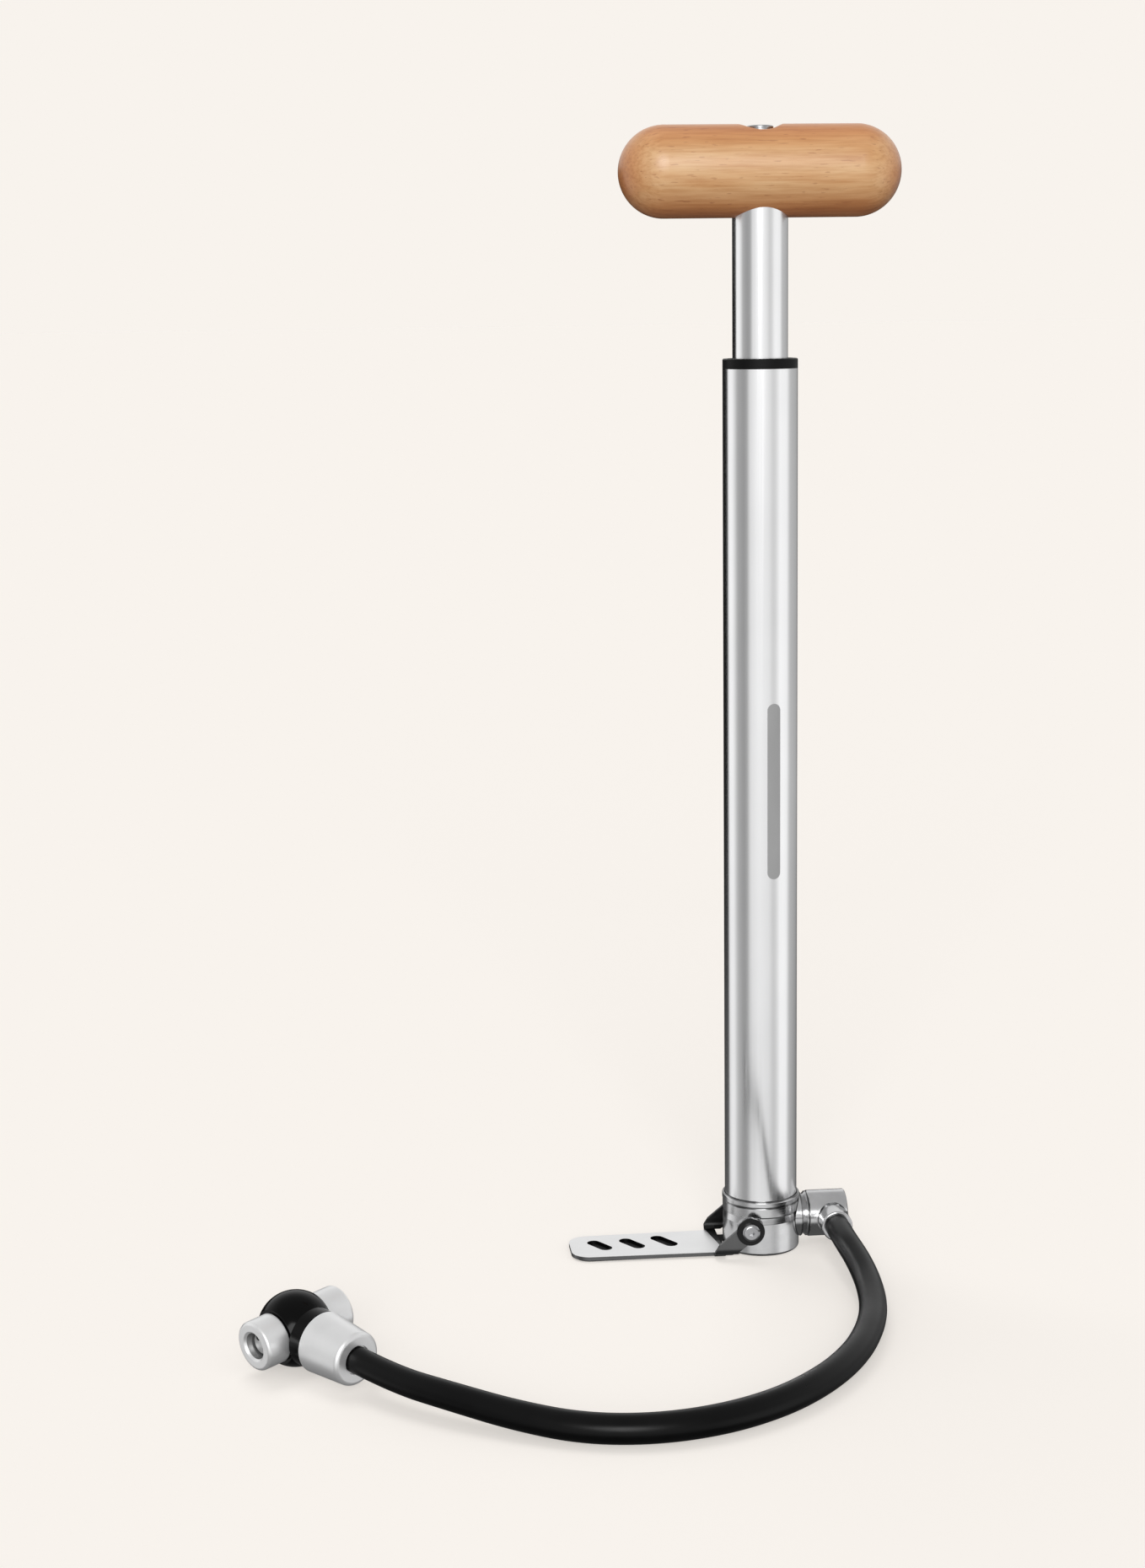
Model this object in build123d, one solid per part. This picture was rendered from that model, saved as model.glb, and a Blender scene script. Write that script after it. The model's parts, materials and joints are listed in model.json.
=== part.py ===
from build123d import *
import os
from math import pi, radians, sqrt, tan

# Small floor pump for bicycle tyres: a slim aluminium barrel on a turned base cup, a beech T handle on a
# hollow shaft, a fold-out foot plate, and a hose that leaves through a swivel and ends in a twin valve head.
# Millimetres. Origin: centre of the base cup's underside, on the barrel axis. +Z runs up the barrel, +X to
# the hose outlet, -X to the foot plate, and the hose lies on the -Y side.

# ---- driving dimensions -------------------------------------------------------------------------------
RUNNING_GAP = 0.05      # radial clearance of a shaft that turns or slides in its own bore
BODY_GAP = 0.3          # clearance between faces of different moving bodies
SEAT_GAP = 0.02         # clearance between pieces that are screwed or pressed together

barrel_radius = 14.0
barrel_wall = 1.3
barrel_bottom = 16.2
barrel_top = 340.5
bore_radius = barrel_radius - barrel_wall

cup_radius = 14.9
cup_height = 19.0
groove_radius = 14.55
chamfer_top = 15.1      # a bright turned step runs round the cup between these two heights
chamfer_bottom = 12.7
cylinder_floor = 20.4   # top of the spigot that stands inside the barrel
chamber_radius = 5.0
chamber_floor = 5.0

lock_ring_radius = 15.05
lock_ring_bottom = 19.8
lock_ring_top = 21.9

collar_top = 344.2
shaft_radius = 10.3
shaft_wall = 1.5
shaft_bore = shaft_radius - shaft_wall

handle_radius = 16.8
handle_length = 104.8
handle_height = 412.0   # of the handle's axis, with the plunger half a hand above its bottom stop
handle_top = handle_height + handle_radius
shaft_top = 404.0
plunger_lift = 50.0     # how far the plunger stands above its bottom stop as drawn

outlet_height = 11.8
outlet_radius = 8.95
swivel_start = 18.0
swivel_end = 33.2
stem_x = 27.2
stem_end = 17.4         # distance from the barrel axis to the hose end of the crimp collar
bolt_radius = 4.2
passage_radius = 2.0

hose_radius = 5.1
recess_depth = 1.0      # how deep the hose ends sit in the crimp collar and in the valve head's ferrule
recess_radius = hose_radius + 0.12

pivot_x = -6.7
pivot_z = 11.2
pivot_screw_radius = 1.6
plate_thickness = 1.5
plate_lift = 0.6        # the cup stands a little lower than the plate, so the pump stands on its cup
plate_tip = -75.2
plate_root = -20.3      # where the plate's edges turn up into the ears
plate_near_end = -16.2
plate_half_width = 12.8
plate_tip_half_width = 11.8
ear_inner = 15.2
ear_outer = ear_inner + plate_thickness
ear_end_radius = 3.6

head_centre = (-181.5, -99.0, 13.4)
ball_radius = 13.4
head_heading = -51.0    # degrees, the way that the ferrule points
head_pitch = 4.2        # the ferrule dips towards the hose
head_tilt = 5.0         # the front nut hangs a little lower than the rear one
nut_radius = 8.85
nut_start = 9.2
front_nut_end = 18.7
rear_nut_end = 19.6
ferrule_start = 14.6
ferrule_end = 33.4
ferrule_big_radius = 10.95
ferrule_small_radius = 9.5
ferrule_end_round = 1.6
nut_end_round = 1.2
edge_break = 0.4
schrader_bore_radius = 4.7
presta_bore_radius = 3.4
mouth_chamfer = 0.8

# Route of the hose's centre line, chosen by hand: out of the crimp collar, down to the floor, round in a
# wide bend and up into the valve head. The last point is worked out from the head's own place.
HOSE_FLOOR = hose_radius + 0.05
HOSE_ROUTE = [
    (stem_x, -(stem_end - recess_depth), outlet_height),
    (stem_x, -31.0, outlet_height),
    (29.2, -47.5, 9.3),
    (29.6, -66.5, 6.3),
    (26.8, -87.5, HOSE_FLOOR),
    (20.5, -108.2, HOSE_FLOOR),
    (11.2, -128.5, HOSE_FLOOR),
    (-2.6, -148.2, HOSE_FLOOR),
    (-20.8, -165.4, HOSE_FLOOR),
    (-42.5, -177.0, HOSE_FLOOR),
    (-66.0, -181.6, HOSE_FLOOR),
    (-89.0, -178.0, HOSE_FLOOR),
    (-110.2, -167.4, 6.4),
    (-130.2, -154.6, 8.6),
]
HEAD_RUN = 20.5         # the hose runs straight for this far before it enters the ferrule

# ---- dependent sizes ----------------------------------------------------------------------------------
seat_radius = 7.0
seat_bottom = 17.0
seal_height = 18.4
bolt_tip = 8.5
bolt_head_radius = 6.4
bolt_head_start = 30.8
seal_places = (21.0, 29.3)
screw_tip = 9.5
screw_head_start = ear_outer + 1.0
screw_head_radius = 3.5
screw_end = screw_head_start + 1.9
screw_dome = 1.2
plate_slots = [(-63.6, 0.8, 12.6), (-50.8, 1.3, 13.1), (-38.0, 2.4, 13.8)]     # centre X and Y, length
washer_radius = 5.4
spot_face_radius = 6.2
spot_face = 6.6         # distance of the spot face from the swivel's axis
hexagon_top = 9.4
crimp_radius = 6.0
stem_thread_radius = 3.4
cap_skirt_bottom = barrel_top - 5
bush_bottom = 322.0
wiper_radius = 12.2
wiper_bottom = 342.2
wiper_top = 343.6
spigot_radius = 6.5
spigot_end = 13.4
gasket_end = 15.6
pin_seat_radius = 4.2
pin_seat_bottom = spigot_end - 2.0
gasket_grip = 0.5       # the gaskets are narrower than the nuts' mouths
pin_disc_radius = 3.7
pin_tip = 15.5
piston_bottom = cylinder_floor + 0.3 + plunger_lift
piston_top = piston_bottom + 12.0
shaft_bottom = piston_top + 0.2

parts = {}


# ---- helpers ------------------------------------------------------------------------------------------
def rod(radius, low, high):
    """A solid cylinder about Z between two heights."""
    return Pos(0, 0, (low + high) / 2) * Cylinder(radius, high - low)


def tube(outer, inner, low, high):
    """A hollow cylinder about Z between two heights."""
    return rod(outer, low, high) - rod(inner, low - 1, high + 1)


def turned(profile):
    """A solid of revolution about Z from (radius, height) corners."""
    outline = Plane.XZ * Polyline(*profile, close=True)
    return revolve(make_face(outline), Axis.Z)


def o_ring(major, minor, height):
    return Pos(0, 0, height) * Torus(major, minor)


def hexagon(across_flats, low, high):
    side_radius = across_flats / 2
    sketch = Plane.XY.offset(low) * RegularPolygon(side_radius, 6, major_radius=False)
    return extrude(sketch, high - low)


def edges_at(solid, height):
    """The circular edges that lie at one height."""
    return solid.edges().filter_by(GeomType.CIRCLE).filter_by_position(Axis.Z, height - 0.01, height + 0.01)


def mirrored_pair(solid):
    return [solid, mirror(solid, Plane.XZ)]


# ---- frames of the fittings ---------------------------------------------------------------------------
outlet = Pos(0, 0, outlet_height) * Rot(0, 90, 0)
stem = Pos(stem_x, 0, outlet_height) * Rot(90, 0, 0)
pivot = Pos(pivot_x, 0, pivot_z) * Rot(90, 0, 0)
head = Pos(*head_centre) * Rot(0, 0, head_heading) * Rot(0, head_pitch, 0) * Rot(head_tilt, 0, 0)
ferrule = head * Rot(0, 90, 0)
front_nut = head * Rot(90, 0, 0)
rear_nut = head * Rot(-90, 0, 0)


# ---- base: cup, ring, barrel and top fittings ---------------------------------------------------------
def base_cup():
    edge_round = 1.2
    step_width = 0.6
    half_groove = 0.9
    boss_radius = 4.2
    socket_wall = barrel_radius + SEAT_GAP
    spigot = bore_radius - SEAT_GAP
    seal_groove = spigot - 1.5
    body = turned([
        (0, 0), (cup_radius, 0), (cup_radius, chamfer_bottom), (groove_radius, chamfer_top),
        (cup_radius, chamfer_top + step_width), (cup_radius, cup_height), (socket_wall, cup_height),
        (socket_wall, barrel_bottom), (spigot, barrel_bottom), (spigot, seal_height - half_groove),
        (seal_groove, seal_height - half_groove), (seal_groove, seal_height + half_groove),
        (spigot, seal_height + half_groove),
        (spigot, cylinder_floor), (0, cylinder_floor),
    ])
    body = fillet(edges_at(body, 0), edge_round)
    boss_reach = ear_inner - 0.2
    body += pivot * rod(boss_radius, -boss_reach, boss_reach) - rod(cup_radius - 0.4, 0, cup_height)
    body -= rod(chamber_radius, chamber_floor, cylinder_floor + 1)
    body -= rod(seat_radius + SEAT_GAP, seat_bottom, cylinder_floor + 1)
    body -= outlet * rod(bolt_radius + SEAT_GAP, bolt_tip, cup_radius + 1)
    body -= outlet * rod(passage_radius, chamber_radius - 1, bolt_tip + 1)
    for side in (1, -1):
        hole = rod(pivot_screw_radius + SEAT_GAP, screw_tip, cup_radius + 2)
        body -= pivot * hole if side > 0 else mirror(pivot * hole, Plane.XZ)
    return body


def lock_ring():
    ring_bore = barrel_radius + 0.25
    edge_round = 0.6
    ring = tube(lock_ring_radius, ring_bore, lock_ring_bottom, lock_ring_top)
    ring += tube(groove_radius, ring_bore, cup_height + SEAT_GAP, lock_ring_bottom)
    return fillet(edges_at(ring, lock_ring_top).sort_by(SortBy.RADIUS)[-1:], edge_round)


def top_collar():
    """Black end cap of the barrel, with a counterbore for the wiper."""
    edge_round = 0.5
    cap = tube(barrel_radius, shaft_radius + RUNNING_GAP, barrel_top + SEAT_GAP, collar_top)
    cap += tube(bore_radius - SEAT_GAP, shaft_radius + RUNNING_GAP, cap_skirt_bottom, barrel_top + SEAT_GAP)
    cap -= rod(wiper_radius + SEAT_GAP, wiper_bottom, collar_top + 1)
    return fillet(edges_at(cap, collar_top).sort_by(SortBy.RADIUS)[-1:], edge_round)


# ---- foot plate ---------------------------------------------------------------------------------------
def foot_plate():
    """Pressed plate with three slanted slots, whose sides turn up into two ears beside the cup."""
    plan = Plane.XY * Polyline(
        (plate_near_end, -plate_half_width), (plate_root, -plate_half_width),
        (plate_tip, -plate_tip_half_width), (plate_tip, plate_tip_half_width),
        (plate_root, plate_half_width), (plate_near_end, plate_half_width), close=True)
    plate = Pos(0, 0, plate_lift) * extrude(make_face(plan), plate_thickness)
    tip_corner_radius = 7.0
    plate = fillet(plate.edges().filter_by(Axis.Z).sort_by(Axis.X)[:2], tip_corner_radius)
    plate -= [slot_cut(*slot) for slot in plate_slots]
    return plate + ear_channel()


def slot_cut(centre_x, centre_y, length):
    slot_width = 5.2
    slot_slant = -57.0
    outline = Pos(centre_x, centre_y) * Rot(0, 0, slot_slant) * SlotOverall(length, slot_width)
    return extrude(outline, plate_lift + plate_thickness)


def ear_channel():
    """The bent sides: a U section run along X, trimmed to the ears' side view."""
    outer_bend = ear_outer - plate_half_width
    height = pivot_z + ear_end_radius
    outer = Plane.YZ.offset(plate_root) * (Pos(0, plate_lift) * Rectangle(
        2 * ear_outer, height, align=(Align.CENTER, Align.MIN)))
    inner = Plane.YZ.offset(plate_root) * (Pos(0, plate_lift + plate_thickness) * Rectangle(
        2 * ear_inner, height, align=(Align.CENTER, Align.MIN)))
    run = pivot_x + ear_end_radius - plate_root
    block = extrude(outer, run)
    hollow = extrude(inner, run)
    low_edges = block.edges().filter_by(Axis.X).group_by(Axis.Z)[0]
    block = fillet(low_edges, outer_bend)
    hollow = fillet(hollow.edges().filter_by(Axis.X).group_by(Axis.Z)[0], outer_bend - plate_thickness)
    channel = block - hollow
    arm = Polyline((plate_root, 0), (plate_root, 3.3), (plate_root + 1.7, 6.0), (-11.0, 3.0),
                   (plate_near_end, 0), close=True)
    round_end = Pos(pivot_x, pivot_z) * Circle(ear_end_radius)
    side_view = Plane.XZ * make_hull(arm.edges() + round_end.edges())
    channel &= extrude(side_view, 2 * ear_outer, both=True)
    web = Pos(plate_near_end, 0, 0) * Box(40, 2 * ear_inner - 0.01, (plate_lift + plate_thickness) * 3,
                                          align=(Align.MIN, Align.CENTER, Align.CENTER))
    channel -= web
    hole = pivot * Cylinder(pivot_screw_radius + RUNNING_GAP, 4 * ear_outer)
    return channel - hole


# ---- fittings of the outlet ---------------------------------------------------------------------------
def outlet_collar():
    """Waisted polished spacer between the cup and the swivel, its inner end hollowed to sit on the cup."""
    start = 11.0
    end = swivel_start - 0.2
    rim = outlet_radius - 0.25
    waist = 7.6
    waist_place = 16.4
    flare = 1.0
    spacer = outlet * turned([
        (bolt_radius + SEAT_GAP, start), (rim, start), (rim, waist_place - flare), (waist, waist_place),
        (rim, waist_place + flare), (rim, end), (bolt_radius + SEAT_GAP, end)])
    return spacer - rod(lock_ring_radius + 0.02, 0, lock_ring_top + 5)


def banjo_bolt():
    """Hollow bolt that the swivel turns on, its head sunk in the swivel's end."""
    groove_depth = 1.2
    half_groove = 0.8
    cross_hole_radius = 1.2
    head_depth = 0.4
    shank = rod(bolt_radius, bolt_tip, bolt_head_start) - rod(passage_radius, bolt_tip - 1, stem_x + 1)
    for place in seal_places:
        shank -= tube(bolt_radius + 1, bolt_radius - groove_depth, place - half_groove, place + half_groove)
    bolt_cap = rod(bolt_head_radius, bolt_head_start, swivel_end - head_depth)
    bolt_cap -= hexagon(5.0, swivel_end - 3.0, swivel_end)
    cross_hole = stem * Cylinder(cross_hole_radius, 2 * bolt_radius + 2)
    return outlet * (shank + bolt_cap) - cross_hole


def swivel_body():
    barrel = outlet * (rod(outlet_radius, swivel_start, swivel_end)
                       - rod(bolt_radius + RUNNING_GAP, swivel_start - 1, swivel_end + 1)
                       - rod(bolt_head_radius + 0.1, bolt_head_start - BODY_GAP / 2, swivel_end + 1))
    barrel = chamfer(barrel.edges().filter_by(GeomType.CIRCLE).sort_by(SortBy.RADIUS)[-2:], edge_break)
    barrel -= stem * rod(spot_face_radius, spot_face, outlet_radius + 1)
    return barrel - stem * rod(stem_thread_radius + SEAT_GAP, bolt_radius - 1, outlet_radius + 1)


def hose_stem():
    """Threaded stem with a hexagon, screwed into the swivel's spot face."""
    across_flats = 9.6
    body = rod(stem_thread_radius, bolt_radius + 0.4, spot_face + 1)
    body += hexagon(across_flats, spot_face + SEAT_GAP, hexagon_top)
    return stem * (body - rod(passage_radius, 0, stem_end))


def crimp_collar():
    collar = tube(crimp_radius, passage_radius, hexagon_top + SEAT_GAP, stem_end)
    collar -= rod(recess_radius, stem_end - recess_depth, stem_end + 1)
    edge_round = 0.6
    return stem * fillet(edges_at(collar, stem_end).sort_by(SortBy.RADIUS)[-1:], edge_round)


# ---- hose ---------------------------------------------------------------------------------------------
def hose_points():
    """The route with its last two points, which lie on the ferrule's axis."""
    end = (ferrule * Pos(0, 0, ferrule_end - recess_depth)).position
    before = (ferrule * Pos(0, 0, ferrule_end - recess_depth + HEAD_RUN)).position
    return [Vector(*point) for point in HOSE_ROUTE] + [before, end]


def bend_radii(points):
    """The largest radius that the two runs at each corner allow."""
    radii = []
    for before, corner, after in zip(points, points[1:], points[2:]):
        turn = (corner - before).get_angle(after - corner)
        shorter = min((corner - before).length, (after - corner).length)
        radii.append(0.45 * shorter / tan(radians(turn / 2)))
    return radii


def hose():
    points = hose_points()
    radii = bend_radii(points)
    path = FilletPolyline(*points, radius=radii)
    section = Plane(origin=points[0], z_dir=points[1] - points[0]) * Circle(hose_radius)
    solid = sweep(section, path)
    print("hose bend radii", [round(radius) for radius in radii])
    print("hose length", round(path.length, 1), "volume ratio",
          round(solid.volume / (pi * hose_radius ** 2 * path.length), 4))
    return solid


# ---- valve head ---------------------------------------------------------------------------------------
def head_body():
    """Black ball with flats and spigots for the two nuts, and a neck with a rim for the ferrule to sit on."""
    neck_radius = 8.7
    valve_passage_radius = 2.6
    rim_radius = 10.5
    flat = nut_start - 0.15
    rim = sqrt(ball_radius ** 2 - flat ** 2)
    outline = Polyline((rim, flat), (spigot_radius, flat), (spigot_radius, spigot_end), (0, spigot_end),
                       (0, -spigot_end), (spigot_radius, -spigot_end), (spigot_radius, -flat), (rim, -flat))
    outline += ThreePointArc((rim, -flat), (ball_radius, 0), (rim, flat))
    ball = Rot(-90, 0, 0) * Rot(0, 0, 180) * revolve(Plane.XZ * make_face(outline), Axis.Z)
    ball += Rot(0, 90, 0) * rod(neck_radius, 0, ferrule_start - SEAT_GAP)
    ball += Rot(0, 90, 0) * rod(rim_radius, nut_radius + 0.5, ferrule_start - SEAT_GAP)
    ball -= Rot(90, 0, 0) * rod(valve_passage_radius, -spigot_end - 1, spigot_end + 1)
    ball -= Rot(0, 90, 0) * rod(passage_radius, 0, ferrule_end)
    for turn in (90, -90):
        ball -= Rot(turn, 0, 0) * rod(pin_seat_radius + SEAT_GAP, pin_seat_bottom, spigot_end + 1)
    return head * ball


def head_ferrule():
    """Tapered metal sleeve over the hose's end."""
    cone = turned([
        (passage_radius, ferrule_start), (ferrule_big_radius, ferrule_start),
        (ferrule_small_radius, ferrule_end), (passage_radius, ferrule_end)])
    cone -= rod(recess_radius, ferrule_end - recess_depth, ferrule_end + 1)
    cone = fillet(edges_at(cone, ferrule_end).sort_by(SortBy.RADIUS)[-1:], ferrule_end_round)
    cone = chamfer(edges_at(cone, ferrule_start).sort_by(SortBy.RADIUS)[-1:], edge_break)
    return ferrule * cone


def valve_nut(mouth_radius, nut_end):
    """Round thumb nut with a stepped bore: thread, gasket seat and mouth."""
    nut = turned([
        (spigot_radius + RUNNING_GAP, nut_start), (nut_radius, nut_start), (nut_radius, nut_end),
        (mouth_radius, nut_end), (mouth_radius, gasket_end + SEAT_GAP),
        (spigot_radius + RUNNING_GAP, gasket_end + SEAT_GAP)])
    nut = fillet(edges_at(nut, nut_end).sort_by(SortBy.RADIUS)[-1:], nut_end_round)
    nut = chamfer(edges_at(nut, nut_end).sort_by(SortBy.RADIUS)[:1], mouth_chamfer)
    return chamfer(edges_at(nut, nut_start).sort_by(SortBy.RADIUS)[-1:], edge_break)


def valve_gasket(inner_radius):
    return tube(spigot_radius - 0.1, inner_radius, spigot_end + 0.2, gasket_end)


def valve_pin():
    """Depressor for a car-type valve: two discs on a hub, each with a pair of air holes, and a short tip."""
    seat_top = spigot_end - 0.8
    disc_top = pin_tip - 0.2
    disc_bottom = disc_top - 0.7
    hole_radius = 1.15
    hole_offset = 2.4
    hub_radius = 1.0
    spool = rod(pin_seat_radius, pin_seat_bottom + SEAT_GAP, seat_top)
    spool += rod(pin_disc_radius, disc_bottom, disc_top)
    for side in (1, -1):
        spool -= Rot(0, 0, 45) * Pos(0, side * hole_offset) * rod(hole_radius, 0, pin_tip)
    return spool + rod(hub_radius, seat_top, disc_bottom) + rod(hub_radius, disc_top, pin_tip)


# base body
parts["base_cup"] = base_cup()
parts["lock_ring"] = lock_ring()
parts["barrel_tube"] = tube(barrel_radius, bore_radius, barrel_bottom + SEAT_GAP, barrel_top)
parts["barrel_seal"] = o_ring(bore_radius - 0.75, 0.7, seal_height)
parts["check_valve_seat"] = tube(seat_radius, passage_radius, seat_bottom + SEAT_GAP, cylinder_floor - 0.1)
parts["outlet_collar"] = outlet_collar()
parts["banjo_bolt"] = banjo_bolt()
parts["swivel_seals"] = outlet * Compound([o_ring(bolt_radius - 0.6, 0.55, place) for place in seal_places])
parts["top_collar"] = top_collar()
parts["guide_bush"] = tube(bore_radius - SEAT_GAP, shaft_radius + RUNNING_GAP, bush_bottom,
                           cap_skirt_bottom - 0.1)
parts["shaft_wiper"] = tube(wiper_radius, shaft_radius + RUNNING_GAP, wiper_bottom + SEAT_GAP, wiper_top)
screw = rod(pivot_screw_radius, screw_tip, screw_head_start)
screw += rod(screw_head_radius, screw_head_start, screw_end)
screw = fillet(edges_at(screw, screw_end), screw_dome) - hexagon(2.0, screw_head_start + 0.7, screw_end + 1)
parts["pivot_screws"] = Compound(mirrored_pair(pivot * screw))
washer = tube(washer_radius, pivot_screw_radius + SEAT_GAP, ear_outer + 0.05, screw_head_start - SEAT_GAP)
parts["pivot_washers"] = Compound(mirrored_pair(pivot * washer))

# check valve: a poppet with a rubber face, pressed up against the seat by its spring
poppet_radius = 3.4
poppet_top = seat_bottom - 0.05
poppet_bottom = poppet_top - 2.4
face_bottom = poppet_top - 0.8
poppet_stem = rod(1.2, poppet_bottom - 2.5, poppet_bottom)
parts["valve_poppet"] = rod(poppet_radius, poppet_bottom, face_bottom) + poppet_stem
parts["poppet_face"] = rod(poppet_radius, face_bottom + SEAT_GAP, poppet_top)
parts["valve_spring"] = tube(2.6, 2.1, chamber_floor + RUNNING_GAP, poppet_bottom - RUNNING_GAP)

# foot
parts["foot_plate"] = foot_plate()

# piston, on the screw that ties it to the shaft's lower plug
screw_radius = 3.0
screw_clearance = screw_radius + RUNNING_GAP
plug_bore = screw_radius + SEAT_GAP
piston_spigot_top = piston_top + 12
counterbore = piston_bottom + 3.4
ring_groove = piston_bottom + 5.0
half_ring_groove = 1.2
parts["piston"] = (rod(bore_radius - 0.2, piston_bottom, piston_top)
                   - tube(bore_radius, bore_radius - 2.2, ring_groove - half_ring_groove,
                          ring_groove + half_ring_groove)
                   + rod(shaft_bore - RUNNING_GAP, piston_top, piston_spigot_top)
                   - rod(screw_clearance, piston_bottom - 1, piston_spigot_top + 1)
                   - rod(5.6, piston_bottom - 1, counterbore))
parts["piston_seal"] = o_ring(bore_radius - 1.15, 1.0, ring_groove)

# rod: shaft, handle and their fasteners
plug_length = 12
plug_bottom = piston_spigot_top + 0.3
piston_screw_head = counterbore - BODY_GAP
parts["shaft_tube"] = tube(shaft_radius, shaft_bore, shaft_bottom, shaft_top)
parts["shaft_lower_plug"] = tube(shaft_bore - SEAT_GAP, plug_bore, plug_bottom, plug_bottom + plug_length)
piston_screw = rod(5.0, piston_bottom + 0.4, piston_screw_head)
piston_screw += rod(screw_radius, piston_screw_head, plug_bottom + plug_length - 1)
parts["piston_screw"] = piston_screw - hexagon(5.0, piston_bottom, piston_screw_head - 0.5)
parts["bump_stop"] = tube(bore_radius - 0.6, shaft_radius + SEAT_GAP, piston_top + 0.4, piston_top + 7)
parts["shaft_top_plug"] = tube(shaft_bore - SEAT_GAP, plug_bore, shaft_top - 16, shaft_top - 0.5)

dish_radius = 7.6
dish_floor = handle_top - 2.9
dish_round = 0.9
washer_top = dish_floor + 0.7
screw_top = handle_top - 0.6
ball_end = handle_length / 2 - handle_radius
grip = Pos(0, 0, handle_height) * Rot(0, 90, 0) * rod(handle_radius, -ball_end, ball_end)
for end in (1, -1):
    grip += Pos(end * ball_end, 0, handle_height) * Sphere(handle_radius)
grip -= rod(dish_radius, dish_floor, handle_top + 1)
upper_edges = grip.edges().filter_by_position(Axis.Z, dish_floor + 0.1, handle_top + 1)
grip = fillet(upper_edges.filter_by(lambda edge: edge.bounding_box().size.X < 3 * dish_radius), dish_round)
grip -= rod(shaft_radius + SEAT_GAP, handle_height - handle_radius - 1, shaft_top + 0.1)
parts["handle"] = grip - rod(screw_radius + 0.2, shaft_top - 1, handle_top)
screw_head = fillet(edges_at(rod(4.9, washer_top, screw_top), screw_top), 0.5)
screw_head -= hexagon(4.0, dish_floor + 1.0, handle_top)
parts["handle_screw"] = screw_head + rod(screw_radius, shaft_top - 15, washer_top)
parts["handle_washer"] = tube(7.2, plug_bore, dish_floor + SEAT_GAP, washer_top - SEAT_GAP)

# swivel, hose and valve head
parts["swivel_body"] = swivel_body()
parts["hose_stem"] = hose_stem()
parts["crimp_collar"] = crimp_collar()
parts["hose"] = hose()
parts["head_ferrule"] = head_ferrule()
parts["head_body"] = head_body()
parts["valve_pin"] = front_nut * valve_pin()
parts["front_gasket"] = front_nut * valve_gasket(schrader_bore_radius - gasket_grip)
parts["rear_gasket"] = rear_nut * valve_gasket(presta_bore_radius - gasket_grip)
parts["front_nut"] = front_nut * valve_nut(schrader_bore_radius, front_nut_end)
parts["rear_nut"] = rear_nut * valve_nut(presta_bore_radius, rear_nut_end)

os.makedirs("parts", exist_ok=True)
for name, solid in parts.items():
    export_step(solid, f"parts/{name}.step")

front_mouth = front_nut * Pos(0, 0, front_nut_end)
print("front nut mouth", front_mouth.position, "axis", Plane(front_mouth).z_dir)
rear_mouth = rear_nut * Pos(0, 0, rear_nut_end)
print("rear nut mouth", rear_mouth.position, "axis", Plane(rear_mouth).z_dir)
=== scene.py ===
import json
from math import cos, pi, radians, sin

import bmesh
import bpy
from mathutils import Matrix, Vector


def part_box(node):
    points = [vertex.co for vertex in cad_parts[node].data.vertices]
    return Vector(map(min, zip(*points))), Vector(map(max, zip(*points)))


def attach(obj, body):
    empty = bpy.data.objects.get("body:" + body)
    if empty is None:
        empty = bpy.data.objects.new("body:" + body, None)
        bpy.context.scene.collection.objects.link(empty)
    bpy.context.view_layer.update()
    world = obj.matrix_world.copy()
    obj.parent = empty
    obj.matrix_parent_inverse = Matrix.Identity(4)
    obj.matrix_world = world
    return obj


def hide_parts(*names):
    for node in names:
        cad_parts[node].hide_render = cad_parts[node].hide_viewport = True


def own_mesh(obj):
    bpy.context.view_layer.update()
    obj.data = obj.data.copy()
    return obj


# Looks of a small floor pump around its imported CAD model. Metres; +Z up the barrel, -Y towards the viewer.

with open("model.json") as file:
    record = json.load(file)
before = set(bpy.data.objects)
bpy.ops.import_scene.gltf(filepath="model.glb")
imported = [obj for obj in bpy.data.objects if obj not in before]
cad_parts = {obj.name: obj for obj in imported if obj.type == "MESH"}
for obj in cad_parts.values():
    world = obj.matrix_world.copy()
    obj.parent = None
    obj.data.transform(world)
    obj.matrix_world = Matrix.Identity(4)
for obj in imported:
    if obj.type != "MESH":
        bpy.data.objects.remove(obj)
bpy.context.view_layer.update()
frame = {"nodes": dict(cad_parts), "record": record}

MM = 0.001

# ---- what the CAD source fixes ------------------------------------------------------------------------
BARREL_RADIUS = 14.0 * MM
PLATE_THICKNESS = 1.5 * MM
HOSE_RADIUS = 5.1 * MM
STEM = Vector((27.2, 0, 11.8)) * MM           # axis of the swivel's side outlet
STEM_END = 16.4 * MM                          # where the hose starts, inside the crimp collar
HEAD_CENTRE = Vector((-181.5, -99.0, 13.4)) * MM
HEAD_HEADING, HEAD_PITCH, HEAD_TILT = radians(-51.0), radians(4.2), radians(5.0)
FERRULE_SEAT = 32.4 * MM                      # where the hose ends, inside the ferrule
HEAD_RUN = 20.5 * MM                          # how far it runs straight out of that seat
NUT_BORE_RADIUS = 4.7 * MM                    # of the wider nut

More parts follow.
